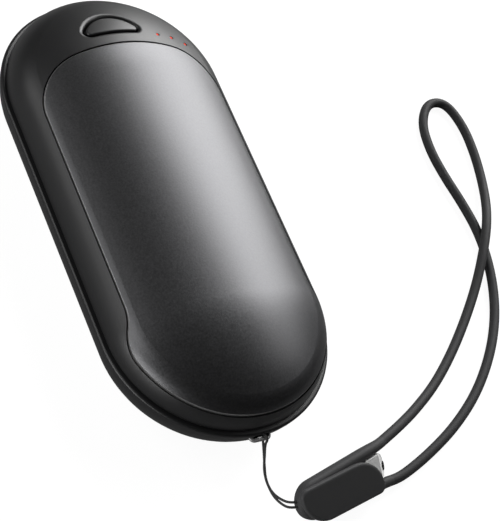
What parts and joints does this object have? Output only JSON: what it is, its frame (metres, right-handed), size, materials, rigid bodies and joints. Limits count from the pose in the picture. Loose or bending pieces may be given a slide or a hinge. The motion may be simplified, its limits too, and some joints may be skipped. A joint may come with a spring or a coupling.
{
  "type": "rechargeable hand warmer",
  "caption": "Pocket hand warmer: rounded case with a crowned heated front plate, half-moon power button, indicator windows, a charging port and a silicone wrist strap.",
  "frame": {"origin": "centre of the flat back, on which the warmer lies", "axes": "+Z out of the heated front, +Y along the case to the button end, +X to the side of the lights"},
  "size_m": [0.1187, 0.123, 0.0237],
  "materials": {
    "case_plastic": "satin black moulded plastic with a fine texture",
    "heat_plate": "fine bead-blasted black anodised aluminium",
    "button_plastic": "smooth black plastic",
    "window_plastic": "dark red tinted clear plastic",
    "strap_silicone": "matt dark grey silicone",
    "core_plastic": "light grey hard plastic",
    "tether_braid": "black braided cord",
    "bail_metal": "blackened steel wire",
    "adhesive": "thin black adhesive gasket",
    "heater_film": "amber polyimide film",
    "insulation": "white heat-resistant felt",
    "sensor": "black epoxy bead",
    "cell_sleeve": "metal can in a shrunk blue sleeve",
    "nickel": "bare nickel strip",
    "cradle_plastic": "natural white plastic",
    "board": "green solder mask",
    "chip": "black moulded chip package",
    "ferrite": "dark grey ferrite",
    "ceramic": "tan ceramic",
    "led": "pale lamp body",
    "screw_steel": "plain steel",
    "socket_steel": "plated steel",
    "socket_plastic": "black connector plastic",
    "red_lead": "red insulation",
    "black_lead": "black insulation",
    "white_lead": "white insulation"
  },
  "bodies": {
    "case": {"back_shell": "case_plastic", "front_frame": "case_plastic", "heat_plate": "heat_plate", "plate_adhesive": "adhesive", "heater_film": "heater_film", "insulation_pad": "insulation", "thermistor": "sensor", "battery_cell_left": "cell_sleeve", "battery_cell_right": "cell_sleeve", "nickel_strip_positive": "nickel", "nickel_strip_negative": "nickel", "cell_cradle": "cradle_plastic", "circuit_board": "board", "case_screws": "screw_steel", "board_screws": "screw_steel", "controller_chip": "chip", "inductor": "ferrite", "mosfet": "chip", "board_passives": "ceramic", "led_1": "led", "led_2": "led", "led_3": "led", "light_guide": "window_plastic", "switch_base": "chip", "switch_cover": "socket_steel", "switch_dome": "nickel", "usb_socket_shell": "socket_steel", "usb_tongue": "socket_plastic", "lanyard_bail": "bail_metal", "battery_lead_positive": "red_lead", "battery_lead_negative": "black_lead", "heater_lead_left": "white_lead", "heater_lead_right": "white_lead", "strap_pod": "strap_silicone", "pod_core": "core_plastic", "wrist_strap": "strap_silicone", "tether_cord": "tether_braid"},
    "button": {"button_cap": "button_plastic"},
    "plunger": {"switch_plunger": "button_plastic"}
  },
  "joints": [
    {"name": "button_press", "type": "slide", "parent": "case", "child": "button", "axis": [0, 0, -1], "range_m": [0, 0.0003], "stiffness_N_per_m": 400},
    {"name": "plunger_press", "type": "slide", "parent": "case", "child": "plunger", "axis": [0, 0, -1], "range_m": [0, 0.0003], "deforming": ["switch_dome"]}
  ],
  "couplings": [
    {"joint": "plunger_press", "follows": "button_press", "ratio": 1}
  ]
}
